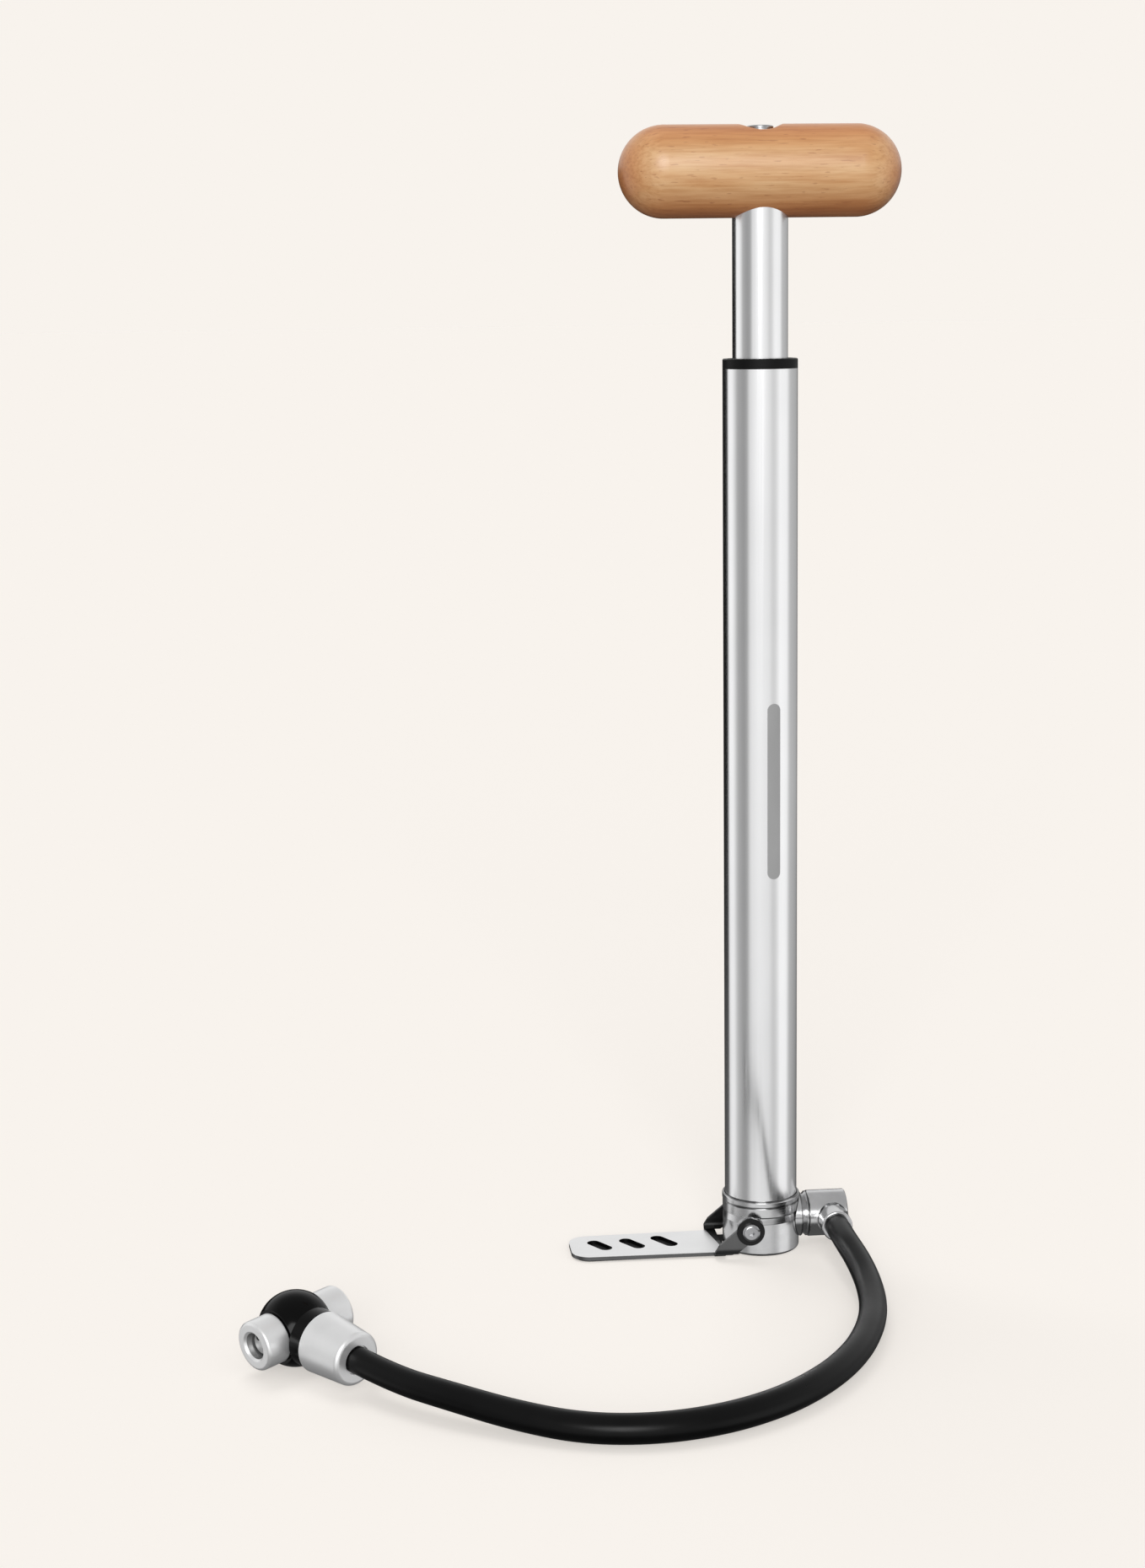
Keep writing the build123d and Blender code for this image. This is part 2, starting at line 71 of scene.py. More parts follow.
# The hose's route, the same points as in the CAD source, without its first and last ones.
HOSE_FLOOR = HOSE_RADIUS / MM + 0.05
HOSE_ROUTE = [
    (27.2, -31.0, 11.8),
    (29.2, -47.5, 9.3),
    (29.6, -66.5, 6.3),
    (26.8, -87.5, HOSE_FLOOR),
    (20.5, -108.2, HOSE_FLOOR),
    (11.2, -128.5, HOSE_FLOOR),
    (-2.6, -148.2, HOSE_FLOOR),
    (-20.8, -165.4, HOSE_FLOOR),
    (-42.5, -177.0, HOSE_FLOOR),
    (-66.0, -181.6, HOSE_FLOOR),
    (-89.0, -178.0, HOSE_FLOOR),
    (-110.2, -167.4, 6.4),
    (-130.2, -154.6, 8.6),
]

# ---- camera and studio --------------------------------------------------------------------------------
CAMERA_PLACE = (-0.16931, -0.99793, 0.36609)
CAMERA_HEADING, CAMERA_PITCH, CAMERA_ROLL = radians(-5.571), radians(10.184), radians(-0.751)
CAMERA_LENS = 61.757
BACKDROP = (0.939, 0.896, 0.847)
VIEWER_AZIMUTH = radians(-99.6)               # the way from the barrel to the viewer
CEILING, UNDERSIDE = 0.55, 0.10               # reflected brightness above and below the walls
EVEN_LIGHT = 0.42
SUNS = {                                      # way that the light goes, strength, angular size
    "key": ((0.15, -0.50, -1.0), 0.7, 30.0),
    "front": ((0.12, 0.92, -0.36), 1.5, 30.0),
}
FLOOR_SHARE = 0.62                            # of the light that falls on the floor

# A plain printed stripe on the barrel.
STRIPE_AZIMUTH = radians(-78)
STRIPE_MIDDLE, STRIPE_HALF_LENGTH, STRIPE_HALF_WIDTH = 183 * MM, 31 * MM, 2.6 * MM
STRIPE_DULLNESS = 0.30                        # added to the metal's roughness

head_turn = (Matrix.Rotation(HEAD_HEADING, 4, "Z") @ Matrix.Rotation(HEAD_PITCH, 4, "Y")
             @ Matrix.Rotation(HEAD_TILT, 4, "X"))
FERRULE_AXIS = head_turn @ Vector((1, 0, 0))
NUT_AXIS = head_turn @ Vector((0, -1, 0))


# ---- studio -------------------------------------------------------------------------------------------
def make_camera():
    data = bpy.data.cameras.new("camera")
    data.lens = CAMERA_LENS
    data.sensor_width = 36.0
    data.clip_start, data.clip_end = 0.01, 100.0
    camera = bpy.data.objects.new("camera", data)
    turn = (Matrix.Rotation(CAMERA_HEADING, 4, "Z") @ Matrix.Rotation(pi / 2 - CAMERA_PITCH, 4, "X")
            @ Matrix.Rotation(CAMERA_ROLL, 4, "Z"))
    camera.matrix_world = Matrix.Translation(CAMERA_PLACE) @ turn
    bpy.context.scene.collection.objects.link(camera)
    bpy.context.scene.camera = camera


class Tree:
    """A short way to write a node tree."""

    def __init__(self, tree):
        self.nodes, self.links = tree.nodes, tree.links
        self.nodes.clear()

    def add(self, kind, inputs=(), **settings):
        node = self.nodes.new(kind)
        for key, value in settings.items():
            setattr(node, key, value)
        for key, value in dict(inputs).items():
            socket = node.inputs[key]
            if isinstance(value, bpy.types.NodeSocket):
                self.links.new(value, socket)
            else:
                socket.default_value = value
        return node

    def math(self, operation, *values):
        node = self.add("ShaderNodeMath", operation=operation)
        for socket, value in zip(node.inputs, values):
            if isinstance(value, bpy.types.NodeSocket):
                self.links.new(value, socket)
            else:
                socket.default_value = value
        return node.outputs[0]

    def join(self, mix, first, second):
        """Give a colour mix its two inputs; a plain number is a grey."""
        for key, value in (("A", first), ("B", second)):
            socket = next(s for s in mix.inputs if s.identifier == key + "_Color")
            if isinstance(value, bpy.types.NodeSocket):
                self.links.new(value, socket)
            else:
                socket.default_value = (value, value, value, 1) if isinstance(value, float) else (*value, 1)
        return mix.outputs["Result"]

    def ramp(self, factor, stops):
        """A colour by position; a plain number is a grey."""
        node = self.add("ShaderNodeValToRGB", {"Fac": factor})
        elements = node.color_ramp.elements
        while len(elements) < len(stops):
            elements.new(0.5)
        for element, (position, value) in zip(elements, stops):
            element.position = position
            element.color = (value, value, value, 1) if isinstance(value, float) else (*value, 1)
        return node.outputs["Color"]


# Brightness of the studio's walls by direction, in degrees to the right of the viewer's own direction: a
# little below eye level, further down, and above, where the lamp stands in the greyer part in front.
WALLS = [
    (-180, 0.02), (-122, 0.002), (-114, 1.05), (-94, 0.98), (-74, 0.42), (-52, 0.32), (-40, 0.40),
    (-32, 0.84), (-6, 0.93), (28, 0.86), (40, 0.68), (50, 0.76), (62, 1.05), (90, 1.00),
    (104, 0.54), (150, 0.40), (170, 0.06), (180, 0.02),
]
LOWER_WALLS = [
    (-180, 0.03), (-150, 0.10), (-124, 0.10), (-112, 0.80), (-92, 0.90), (-74, 0.52), (-54, 0.34),
    (-42, 0.38), (-30, 0.74), (-4, 0.86), (26, 0.78), (42, 0.56), (52, 0.66), (64, 1.00),
    (88, 0.96), (102, 0.46), (140, 0.22), (170, 0.03), (180, 0.03),
]
UPPER_WALLS = [(-180, 0.92), (-95, 0.85), (-60, 0.50), (60, 0.50), (95, 0.80), (180, 0.92)]

# The sine of the height above the horizon where each other part of the studio begins, and where it is full.
LOWER_FADE, UPPER_FADE = (-0.18, -0.33), (0.05, 0.14)
CEILING_FADE, UNDERSIDE_FADE = (0.50, 0.75), (-0.42, -0.62)


def make_world():
    """Plain pale background for the viewer, even white light, and banded studio walls for reflections."""
    world = bpy.data.worlds.new("studio")
    bpy.context.scene.world = world
    world.use_nodes = True
    t = Tree(world.node_tree)
    way = t.add("ShaderNodeSeparateXYZ", {0: t.add("ShaderNodeTexCoord").outputs["Generated"]})
    azimuth = t.math("ARCTAN2", way.outputs["Y"], way.outputs["X"])
    turned = t.math("SUBTRACT", azimuth, VIEWER_AZIMUTH + pi)
    share = t.math("FRACT", t.math("DIVIDE", turned, 2 * pi))
    walls, lower_walls, upper_walls = (
        t.ramp(share, [((angle + 180) / 360, brightness) for angle, brightness in ring])
        for ring in (WALLS, LOWER_WALLS, UPPER_WALLS))
    surroundings = walls
    for value, (begins, full) in ((lower_walls, LOWER_FADE), (upper_walls, UPPER_FADE),
                                  (CEILING, CEILING_FADE), (UNDERSIDE, UNDERSIDE_FADE)):
        cover = t.add("ShaderNodeMapRange", {"Value": way.outputs["Z"], "From Min": begins, "From Max": full})
        layer = t.add("ShaderNodeMix", {"Factor": cover.outputs["Result"]}, data_type="RGBA")
        surroundings = t.join(layer, surroundings, value)
    path = t.add("ShaderNodeLightPath")
    plain = t.add("ShaderNodeBackground", {"Color": (*BACKDROP, 1)})
    even = t.add("ShaderNodeBackground", {"Color": (1, 1, 1, 1), "Strength": EVEN_LIGHT})
    banded = t.add("ShaderNodeBackground", {"Color": surroundings})
    lit = t.add("ShaderNodeMixShader",
                {0: path.outputs["Is Glossy Ray"], 1: even.outputs[0], 2: banded.outputs[0]})
    seen = t.add("ShaderNodeMixShader",
                 {0: path.outputs["Is Camera Ray"], 1: lit.outputs[0], 2: plain.outputs[0]})
    t.add("ShaderNodeOutputWorld", {"Surface": seen.outputs[0]})


def floor_glow():
    """The floor's own light, which brings it up to the background."""
    from_suns = sum(strength * -Vector(way).normalized().z / pi for way, strength, _ in SUNS.values())
    falling = EVEN_LIGHT + from_suns
    return 1.0 - FLOOR_SHARE * falling


def make_floor():
    """A wide plain floor, as pale as the background, that neither shows in the object nor lights it."""
    bpy.ops.mesh.primitive_circle_add(vertices=128, radius=40.0, fill_type="NGON")
    floor = bpy.context.object
    floor.name = "floor"
    floor.visible_glossy = floor.visible_diffuse = False
    material = bpy.data.materials.new("floor")
    material.use_nodes = True
    t = Tree(material.node_tree)
    grain = t.add("ShaderNodeTexNoise", {"Scale": 3.0, "Detail": 2.0})
    soft = t.ramp(grain.outputs["Fac"], [(0.3, tuple(FLOOR_SHARE * c for c in BACKDROP)),
                                         (0.7, tuple(FLOOR_SHARE * 1.002 * c for c in BACKDROP))])
    diffuse = t.add("ShaderNodeBsdfDiffuse", {"Color": soft})
    glow = t.add("ShaderNodeEmission", {"Color": (*BACKDROP, 1), "Strength": floor_glow()})
    both = t.add("ShaderNodeAddShader", {0: diffuse.outputs[0], 1: glow.outputs[0]})
    t.add("ShaderNodeOutputMaterial", {"Surface": both.outputs[0]})
    floor.data.materials.append(material)


def make_suns():
    """Two broad suns; only the front one shows in the object."""
    for name, (way, strength, size) in SUNS.items():
        data = bpy.data.lights.new(name, "SUN")
        data.energy = strength
        data.angle = radians(size)
        lamp = bpy.data.objects.new(name, data)
        lamp.rotation_euler = Vector(way).to_track_quat("-Z", "Y").to_euler()
        lamp.visible_glossy = name == "front"
        bpy.context.scene.collection.objects.link(lamp)


# ---- hose ---------------------------------------------------------------------------------------------
# The hose's share of its full radius at its first points from either end, so that it fits in its fittings.
END_SHARES = (0.92, 0.92, 0.95, 0.98)


def make_hose():
    seat = HEAD_CENTRE + FERRULE_AXIS * FERRULE_SEAT
    before = HEAD_CENTRE + FERRULE_AXIS * (FERRULE_SEAT + HEAD_RUN)
    exit_point = STEM + Vector((0, -STEM_END, 0))
    points = [exit_point, *[Vector(p) * MM for p in HOSE_ROUTE], before, seat]
    curve = bpy.data.curves.new("hose", "CURVE")
    curve.dimensions = "3D"
    spline = curve.splines.new("NURBS")
    spline.points.add(len(points) - 1)
    for number, (point, place) in enumerate(zip(spline.points, points)):
        point.co = (*place, 1.0)
        from_end = min(number, len(points) - 1 - number)
        point.radius = HOSE_RADIUS * (END_SHARES[from_end] if from_end < len(END_SHARES) else 1.0)
    spline.order_u = 3
    spline.use_endpoint_u = True
    spline.resolution_u = 12
    curve.bevel_depth = 1.0                   # the points hold the hose's own radius in metres
    curve.bevel_resolution = 12
    curve.use_fill_caps = True
    hose = bpy.data.objects.new("rubber_hose", curve)
    bpy.context.scene.collection.objects.link(hose)
    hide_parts("hose")
    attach(hose, "hose_line")
    return hose


# ---- black sheet for painted shade under the foot plate -----------------------------------------------
def make_shade_sheet():
    """Thin black sheet under the foot plate, standing in for the shade seen through the slots and beside the
    cup.
    """
    half, tip, corner = 11.6 * MM, -74.0 * MM, 6.0 * MM
    round_cup, open_angle = 15.15 * MM, 0.83
    side = [(tip + corner * (1 - cos(a)), -half + corner * (1 - sin(a))) for a in arc(pi / 2, 0)]
    outline = side + [(x, -y) for x, y in reversed(side)]
    outline += [(-round_cup * cos(a), round_cup * sin(a)) for a in arc(open_angle, -open_angle)]
    bottom, top = 0.15 * MM, 0.58 * MM
    shape = bmesh.new()
    face = shape.faces.new([shape.verts.new((x, y, bottom)) for x, y in outline])
    raised = bmesh.ops.extrude_face_region(shape, geom=[face])["geom"]
    upper = [item for item in raised if isinstance(item, bmesh.types.BMVert)]
    bmesh.ops.translate(shape, vec=(0, 0, top - bottom), verts=upper)
    bmesh.ops.recalc_face_normals(shape, faces=shape.faces)
    mesh = bpy.data.meshes.new("shade_sheet")
    shape.to_mesh(mesh)
    shape.free()
    # painted shade: a dark sheet that blacks out the slots and the gap beside the cup
    sheet = bpy.data.objects.new("shade_sheet", mesh)
    bpy.context.scene.collection.objects.link(sheet)
    rounding = sheet.modifiers.new("rounding", "BEVEL")
    rounding.width, rounding.segments, rounding.limit_method = 0.12 * MM, 2, "ANGLE"
    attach(sheet, "foot")
    return sheet


def arc(start, end, steps=14):
    """Angles from start to end in equal steps."""
    return [start + (end - start) * step / steps for step in range(steps + 1)]


# ---- check valve spring -------------------------------------------------------------------------------
def make_valve_spring():
    """Wire spring under the check valve, with closed end turns; it moves with the valve's body."""
    low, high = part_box("valve_spring")
    wire, turns, steps_a_turn = 0.22 * MM, 5, 20
    middle, coil_radius, bottom = (low + high) / 2, (high.x - low.x) / 2 - wire, low.z + wire
    curve = bpy.data.curves.new("coil", "CURVE")
    curve.dimensions = "3D"
    spline = curve.splines.new("POLY")
    spline.points.add(turns * steps_a_turn)
    for step, point in enumerate(spline.points):
        angle, share = 2 * pi * step / steps_a_turn, step / (turns * steps_a_turn)
        raised = (share - sin(2 * pi * share) / (2 * pi)) * (high.z - low.z - 2 * wire)
        around = Vector((coil_radius * cos(angle), coil_radius * sin(angle)))
        point.co = (*(middle.xy + around), bottom + raised, 1.0)
    curve.bevel_depth, curve.bevel_resolution, curve.use_fill_caps = wire, 3, True
    line = bpy.data.objects.new("coil", curve)
    spring = bpy.data.objects.new("coil_spring", bpy.data.meshes.new_from_object(line))
    bpy.data.objects.remove(line)
    bpy.context.scene.collection.objects.link(spring)
    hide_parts("valve_spring")
    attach(spring, "check_valve")
    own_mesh(spring)
    return spring


# ---- materials ----------------------------------------------------------------------------------------
NOISE_LOW, NOISE_HIGH = 0.3, 0.7              # most of a noise's values lie between these


def surface(name, uniform):
    """A principled material with its uniform values set on the shader itself."""
    material = bpy.data.materials.new(name)
    material.use_nodes = True
    t = Tree(material.node_tree)
    t.material = material
    t.shader = t.add("ShaderNodeBsdfPrincipled", uniform)
    t.add("ShaderNodeOutputMaterial", {"Surface": t.shader.outputs[0]})
    t.place = t.add("ShaderNodeTexCoord").outputs["Object"]
    return t


def stretched(t, scale, detail=2.0, roughness=0.5):
    """Noise with its own number of cycles per metre along each axis."""
    mapping = t.add("ShaderNodeMapping", {"Vector": t.place, "Scale": scale})
    noise = t.add("ShaderNodeTexNoise", {"Vector": mapping.outputs[0], "Scale": 1.0, "Detail": detail,
                                         "Roughness": roughness})
    return noise.outputs["Fac"]


def evenly(t, per_metre, detail=2.0):
    """Noise with the same number of cycles per metre every way."""
    return stretched(t, (per_metre, per_metre, per_metre), detail)


def along(t, axis):
    """Distance along an axis, in metres."""
    product = t.add("ShaderNodeVectorMath", {0: t.place, 1: tuple(axis)}, operation="DOT_PRODUCT")
    return product.outputs["Value"]


def rings(t, axis, per_metre):
    """Fine turning marks: noise that changes only along an axis."""
    scaled = t.math("MULTIPLY", along(t, axis), per_metre)
    noise = t.add("ShaderNodeTexNoise", {"W": scaled, "Scale": 1.0, "Detail": 2.0}, noise_dimensions="1D")
    return noise.outputs["Fac"]


def tint(t, noise, dark, light):
    """A colour that a noise moves between two tones."""
    return t.ramp(noise, [(NOISE_LOW, dark), (NOISE_HIGH, light)])


def between(t, noise, low, high):
    """A value that a noise moves between two others."""
    return t.add("ShaderNodeMapRange", {"Value": noise, "From Min": NOISE_LOW, "From Max": NOISE_HIGH,
                                        "To Min": low, "To Max": high}).outputs["Result"]


def link(t, socket, value):
    t.links.new(value, t.shader.inputs[socket])


def bump(t, height, depth):
    """Relief of a given depth in metres."""
    link(t, "Normal", t.add("ShaderNodeBump", {"Height": height, "Distance": depth}).outputs[0])


def joint_shade_mask(t, axis, places, width):
    """1 on bare metal, falling to 0 at the joints whose places along an axis are given, where shade is
    painted.
    """
    distance = along(t, axis)
    nearest = 1.0
    for place in places:
        nearest = t.math("MINIMUM", t.math("ABSOLUTE", t.math("SUBTRACT", distance, place)), nearest)
    uneven = t.math("MULTIPLY", t.math("SUBTRACT", evenly(t, 110), 0.5), 2.2 * width)
    return t.add("ShaderNodeMapRange", {"Value": t.math("ADD", nearest, uneven), "From Min": 0.0,
                                        "From Max": width}, interpolation_type="SMOOTHSTEP").outputs["Result"]


TURNING_MARKS, TURNING_DEPTH = 2600, 0.001 * MM   # marks per metre, and how deep they are
JOINT_SHADE_WIDTH, JOINT_SHADE = 0.7 * MM, 0.10             # how far the painted shade spreads from a joint, and how grey it is
CUP_JOINTS = [0.2 * MM, 19.4 * MM, 22.0 * MM]     # up from the floor
OUTLET_JOINTS = [15.2 * MM, 17.9 * MM, 33.3 * MM]  # out from the barrel's axis


def turned_alloy(name, axis, dark, light, low, high, joints=()):
    """Turned metal, with painted shade at the joints whose places along the axis are given."""
    t = surface(name, {"Metallic": 1.0})
    marks = rings(t, axis, TURNING_MARKS)
    cloud = evenly(t, 90, detail=3.0)
    colour = tint(t, cloud, dark, light)
    if joints:
        # painted shade: the metal is greyed where parts meet and where the cup meets the floor
        joint_shaded = t.add("ShaderNodeMix", {"Factor": joint_shade_mask(t, axis, joints, JOINT_SHADE_WIDTH)}, data_type="RGBA")
        colour = t.join(joint_shaded, JOINT_SHADE, colour)
    link(t, "Base Color", colour)
    link(t, "Roughness", between(t, marks, low, high))
    bump(t, marks, TURNING_DEPTH)
    return t.material


def blasted_alloy(name):
    """Blasted and anodised; painted shade darkens the bores of the two valve nuts."""
    t = surface(name, {"Metallic": 0.72})
    pits = evenly(t, 3200)
    clean = tint(t, evenly(t, 120, detail=3.0), 0.91, 0.96)
    from_centre = t.add("ShaderNodeVectorMath", {0: t.place, 1: tuple(HEAD_CENTRE)}, operation="SUBTRACT")
    off_axis = t.add("ShaderNodeVectorMath", {0: from_centre.outputs[0], 1: tuple(NUT_AXIS)},
                     operation="CROSS_PRODUCT")
    from_axis = t.add("ShaderNodeVectorMath", {0: off_axis.outputs[0]}, operation="LENGTH")
    # painted shade: inside the bore's radius the colour drops to a dark grey
    outside = t.math("GREATER_THAN", from_axis.outputs["Value"], NUT_BORE_RADIUS + 0.05 * MM)
    colour = t.add("ShaderNodeMix", {"Factor": outside}, data_type="RGBA")
    link(t, "Base Color", t.join(colour, 0.40, clean))
    link(t, "Roughness", between(t, pits, 0.32, 0.44))
    bump(t, pits, 0.012 * MM)
    return t.material


def black_plastic(name, tone, low, high, specular, depth=0.004 * MM):
    """Moulded black plastic or rubber."""
    t = surface(name, {"Specular IOR Level": specular})
    cloud = evenly(t, 110, detail=3.0)
    link(t, "Base Color", tint(t, cloud, (tone, tone, tone), (tone * 1.7, tone * 1.7, tone * 1.75)))
    link(t, "Roughness", between(t, cloud, low, high))
    bump(t, evenly(t, 1800), depth)
    return t.material


def hose_rubber():
    t = surface("hose_rubber", {"Specular IOR Level": 0.15})
    cloud = evenly(t, 70, detail=4.0)
    link(t, "Base Color", tint(t, cloud, (0.0020, 0.0020, 0.0021), (0.0035, 0.0035, 0.0036)))
    link(t, "Roughness", between(t, cloud, 0.27, 0.36))
    bump(t, evenly(t, 2200, detail=3.0), 0.004 * MM)
    return t.material


# Colours of the beech: its broad grain, its pores, its short dark flecks, and the painted shade on its top,
# bottom and ends.
BEECH_GRAIN = [(0.32, (0.62, 0.270, 0.090)), (0.50, (0.78, 0.425, 0.185)), (0.70, (0.88, 0.560, 0.290))]
BEECH_PORES = [(0.32, (0.80, 0.68, 0.56)), (0.58, (1.0, 1.0, 1.0))]
BEECH_FLECK = (0.36, 0.10, 0.03)
BEECH_PAINTED_SHADE = (0.80, 0.53, 0.33)
PORES_SHARE, FLECK_SHARE, PAINTED_SHADE_SHARE = 0.75, 0.38, 0.9


def beech():
    """Lacquered beech, its grain along the handle; painted shade darkens it towards its top, bottom and ends.
    """
    t = surface("handle_beech", {"Roughness": 0.36, "Coat Weight": 0.30, "Coat Roughness": 0.32,
                                 "Specular IOR Level": 0.65})
    broad = stretched(t, (12, 85, 85), detail=5.0, roughness=0.6)
    fine = stretched(t, (45, 900, 900), detail=3.0, roughness=0.6)
    # painted shade: the handle's top, bottom and round ends are darkened
    shade_painted = t.add("ShaderNodeMix", {"Factor": t.math("MULTIPLY", painted_shade_places(t, broad), PAINTED_SHADE_SHARE)},
                     data_type="RGBA", blend_type="MULTIPLY")
    link(t, "Base Color", t.join(shade_painted, beech_grain(t, broad, fine), BEECH_PAINTED_SHADE))
    bump(t, fine, 0.006 * MM)
    return t.material


def beech_grain(t, broad, fine):
    """The beech's colour before the painted shade is laid over it."""
    grained = t.add("ShaderNodeMix", {"Factor": PORES_SHARE}, data_type="RGBA", blend_type="MULTIPLY")
    wood = t.join(grained, t.ramp(broad, BEECH_GRAIN), t.ramp(fine, BEECH_PORES))
    marks = t.ramp(stretched(t, (190, 1300, 1300), detail=1.0), [(0.66, 0.0), (0.72, 1.0)])
    flecked = t.add("ShaderNodeMix", {"Factor": t.math("MULTIPLY", marks, FLECK_SHARE)}, data_type="RGBA")
    return t.join(flecked, wood, BEECH_FLECK)


def painted_shade_places(t, broad):
    """Where shade is painted: 0 along the handle's middle, rising to 1 at its top, bottom and round ends."""
    low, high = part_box("handle")
    middle, half = (low + high) / 2, (high - low) / 2
    axes = t.add("ShaderNodeSeparateXYZ", {0: t.place})
    height = t.math("DIVIDE", t.math("ABSOLUTE", t.math("SUBTRACT", axes.outputs["Z"], middle.z)), half.z)
    past_middle = t.math("SUBTRACT", t.math("ABSOLUTE", axes.outputs["X"]), half.x - half.z)
    ends = t.math("DIVIDE", past_middle, half.z)
    uneven = t.math("MULTIPLY", t.math("SUBTRACT", broad, 0.5), 0.5)
    return t.add("ShaderNodeMapRange", {"Value": t.math("ADD", t.math("MAXIMUM", height, ends), uneven),
                                        "From Min": 0.30, "From Max": 1.0},
                 interpolation_type="SMOOTHSTEP").outputs["Result"]


# The part of the plate's top beside the cup where a shadow is painted: beyond a slanted line, behind the near
# ear.
SHADOW_FROM_X, SHADOW_SLANT, SHADOW_FROM_Y = -17.9 * MM, 0.17, -10 * MM


def plate_steel():
    """Satin plate; its edges, underside and two ears get a dark grey as painted shade and dark reflection,
    lighter on the near side as painted light, and a shadow is painted on its end beside the cup.
    """
    t = surface("plate_steel", {"Metallic": 1.0})
    lines = stretched(t, (18, 1900, 1900))
    cloud = evenly(t, 70, detail=3.0)
    axes = t.add("ShaderNodeSeparateXYZ", {0: t.place})
    plate_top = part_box("foot_plate")[0].z + PLATE_THICKNESS
    below = t.math("LESS_THAN", axes.outputs["Z"], plate_top - 0.06 * MM)
    above = t.math("GREATER_THAN", axes.outputs["Z"], plate_top + 0.06 * MM)
    slant = t.math("ADD", axes.outputs["X"], t.math("MULTIPLY", axes.outputs["Y"], SHADOW_SLANT))
    # painted shadow: the plate's top beside the cup is darkened
    shadow_beside_cup = t.math("MULTIPLY", t.math("GREATER_THAN", slant, SHADOW_FROM_X),
                        t.math("GREATER_THAN", axes.outputs["Y"], SHADOW_FROM_Y))
    dark = t.math("MAXIMUM", t.math("MAXIMUM", below, above), shadow_beside_cup)
    # painted light: the near ear and near edges are lighter than the far ones, which stay nearly black
    lit_near_side = t.math("LESS_THAN", axes.outputs["Y"], 0.0)
    grey = t.math("ADD", t.math("MULTIPLY", cloud, 0.06), t.math("MULTIPLY", lit_near_side, 0.12))
    painted_shade_grey = t.add("ShaderNodeCombineColor", {"Red": grey, "Green": grey, "Blue": grey}).outputs["Color"]
    # painted shade and dark reflection on the edges, underside and ears
    colour = t.add("ShaderNodeMix", {"Factor": dark}, data_type="RGBA")
    link(t, "Base Color", t.join(colour, tint(t, cloud, 0.88, 0.93), painted_shade_grey))
    link(t, "Roughness", between(t, lines, 0.30, 0.40))
    bump(t, lines, 0.003 * MM)
    return t.material


def drawn_alloy(name, striped=False):
    """Drawn tube; the barrel also has a stripe printed on it."""
    t = surface(name, {"Metallic": 1.0, "Specular IOR Level": 0.4})
    streaks = stretched(t, (1600, 1600, 8))
    cloud = stretched(t, (60, 60, 30), detail=3.0)
    colour = tint(t, cloud, (0.87, 0.87, 0.875), (0.91, 0.91, 0.915))
    roughness = between(t, streaks, 0.16, 0.22)
    if striped:
        bare = off_stripe(t)
        printed = t.add("ShaderNodeMix", {"Factor": bare}, data_type="RGBA")
        colour = t.join(printed, tint(t, cloud, 0.36, 0.40), colour)
        duller = t.math("MULTIPLY", t.math("SUBTRACT", 1.0, bare), STRIPE_DULLNESS)
        roughness = t.math("ADD", roughness, duller)
        link(t, "Metallic", bare)
    link(t, "Base Color", colour)
    link(t, "Roughness", roughness)
    bump(t, streaks, 0.0012 * MM)
    return t.material


def off_stripe(t):
    """0 on the plain round-ended stripe down the barrel's front, 1 off it."""
    axes = t.add("ShaderNodeSeparateXYZ", {0: t.place})
    angle = t.math("SUBTRACT", t.math("ARCTAN2", axes.outputs["Y"], axes.outputs["X"]), STRIPE_AZIMUTH)
    across = t.math("MULTIPLY", angle, BARREL_RADIUS)
    from_middle = t.math("ABSOLUTE", t.math("SUBTRACT", axes.outputs["Z"], STRIPE_MIDDLE))
    past_end = t.math("MAXIMUM", t.math("SUBTRACT", from_middle, STRIPE_HALF_LENGTH), 0.0)
    away = t.math("SQRT", t.math("ADD", t.math("POWER", across, 2.0), t.math("POWER", past_end, 2.0)))
    return t.add("ShaderNodeMapRange", {"Value": away, "From Min": STRIPE_HALF_WIDTH - 0.1 * MM,
                                        "From Max": STRIPE_HALF_WIDTH + 0.1 * MM}).outputs["Result"]


def brass():
    t = surface("valve_brass", {"Metallic": 1.0})
    link(t, "Base Color", tint(t, evenly(t, 300, detail=3.0), (0.72, 0.50, 0.20), (0.80, 0.60, 0.28)))
    link(t, "Roughness", between(t, rings(t, (0, 0, 1), 3000), 0.22, 0.34))
    return t.material


def acetal():
    t = surface("piston_acetal", {"Subsurface Weight": 0.1, "Subsurface Radius": (0.002, 0.002, 0.002)})
    link(t, "Base Color", tint(t, evenly(t, 200, detail=3.0), (0.74, 0.73, 0.69), (0.80, 0.79, 0.75)))
    link(t, "Roughness", between(t, rings(t, (0, 0, 1), 3000), 0.35, 0.5))
    return t.material


# Nodes whose finish differs from the others of their material slot.
FINISHES = {"shaft_tube": "shaft_alloy", "front_gasket": "gasket_rubber", "rear_gasket": "gasket_rubber"}


def paint(thing, material):
    thing.data.materials.clear()
    thing.data.materials.append(material)


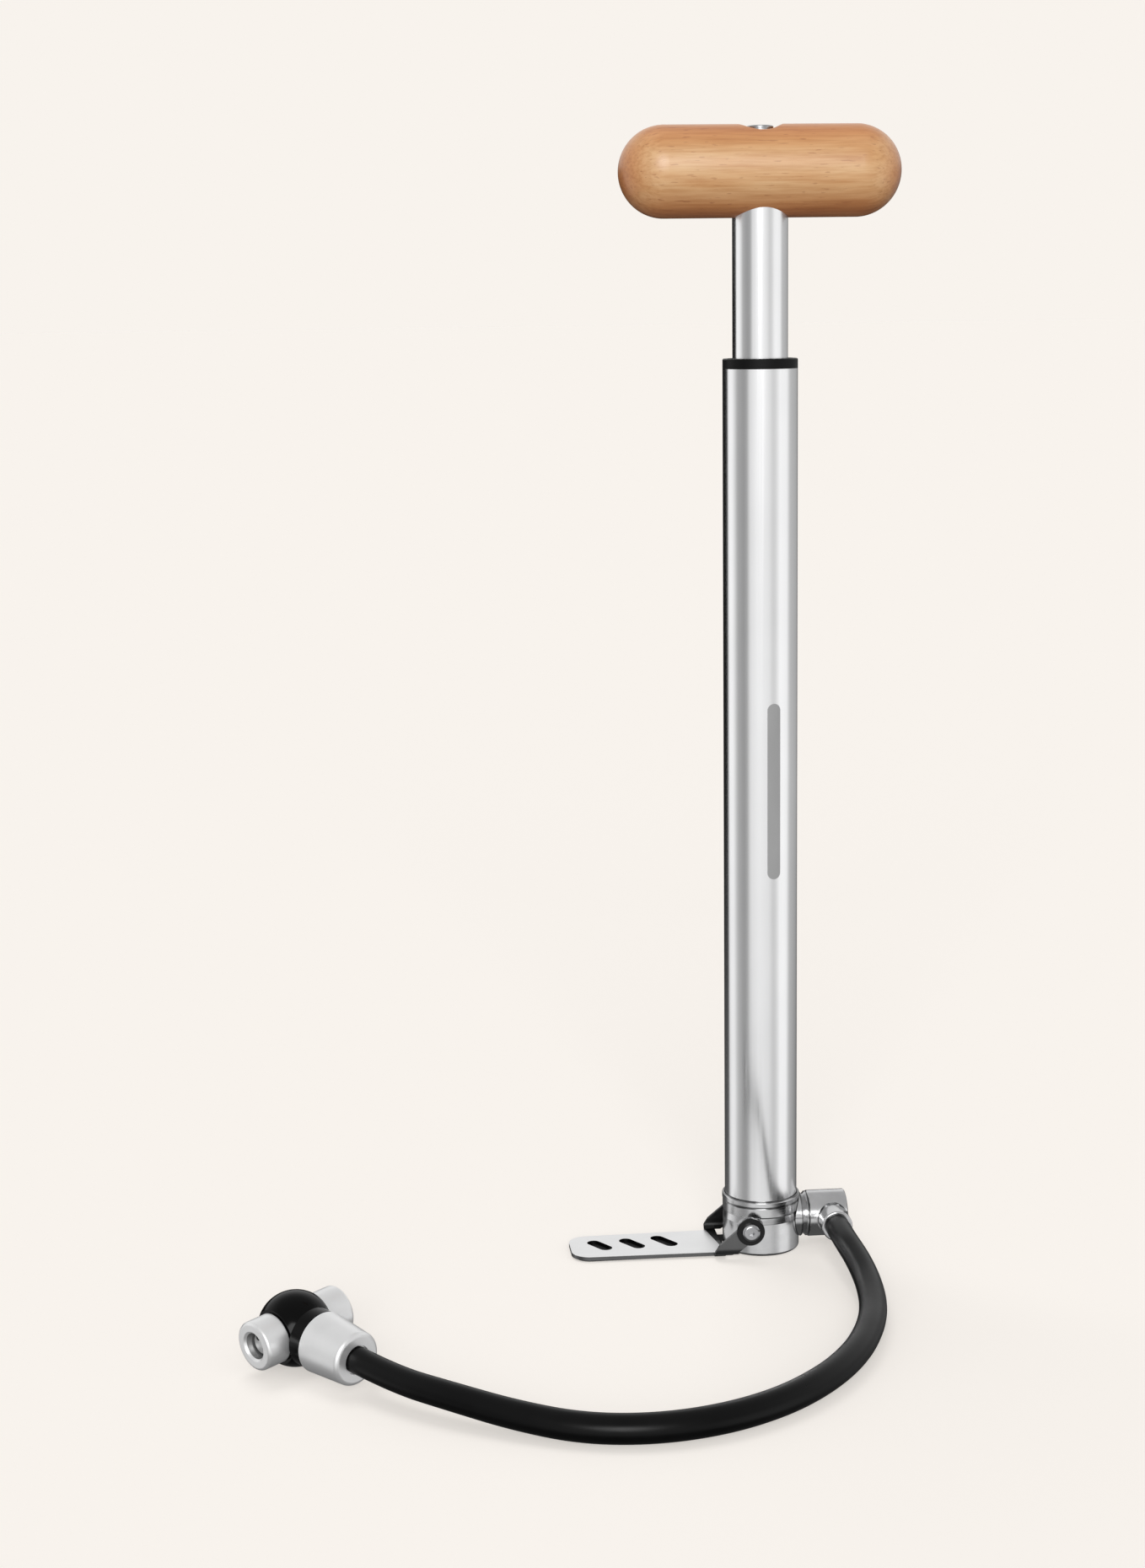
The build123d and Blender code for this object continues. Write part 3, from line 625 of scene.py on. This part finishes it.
def make_materials():
    """Make every material and give the CAD nodes theirs."""
    x, y, z = (1, 0, 0), (0, 1, 0), (0, 0, 1)
    grey, pale = (0.80, 0.80, 0.805), (0.88, 0.88, 0.885)
    made = {
        "barrel_alloy": drawn_alloy("barrel_alloy", striped=True),
        "shaft_alloy": drawn_alloy("shaft_alloy"),
        "cup_alloy": turned_alloy("cup_alloy", z, (0.60, 0.60, 0.605), (0.73, 0.73, 0.735), 0.16, 0.24,
                                  joints=CUP_JOINTS),
        "outlet_alloy": turned_alloy("outlet_alloy", x, (0.54, 0.54, 0.545), (0.68, 0.68, 0.685), 0.14, 0.22,
                                     joints=OUTLET_JOINTS),
        "plate_steel": plate_steel(),
        "fastener_steel": turned_alloy("fastener_steel", y, (0.40, 0.40, 0.41), (0.52, 0.52, 0.53),
                                       0.18, 0.28),
        "washer_steel": turned_alloy("washer_steel", z, grey, pale, 0.25, 0.35),
        "black_washer": black_plastic("black_washer", 0.003, 0.22, 0.34, 0.30),
        "black_plastic": black_plastic("black_plastic", 0.003, 0.35, 0.5, 0.15),
        "seal_rubber": black_plastic("seal_rubber", 0.008, 0.5, 0.65, 0.3),
        "gasket_rubber": black_plastic("gasket_rubber", 0.07, 0.5, 0.65, 0.2),
        "valve_brass": brass(),
        "piston_acetal": acetal(),
        "plug_alloy": turned_alloy("plug_alloy", z, grey, pale, 0.25, 0.35),
        "handle_beech": beech(),
        "hose_rubber": hose_rubber(),
        "head_black": black_plastic("head_black", 0.0010, 0.12, 0.20, 0.12, depth=0.0015 * MM),
        "nut_alloy": blasted_alloy("nut_alloy"),
        "pin_alloy": turned_alloy("pin_alloy", NUT_AXIS, 0.74, 0.82, 0.40, 0.55),
    }
    for part in frame["record"]["subparts"]:
        finish = FINISHES.get(part["node"], part["material_slot"])
        paint(frame["nodes"][part["node"]], made[finish])
    return made


make_camera()
hose = make_hose()
make_world()
make_floor()
make_suns()
bpy.context.scene.view_settings.view_transform = "Standard"
materials = make_materials()
paint(hose, materials["hose_rubber"])
paint(make_shade_sheet(), materials["seal_rubber"])
paint(make_valve_spring(), materials["fastener_steel"])
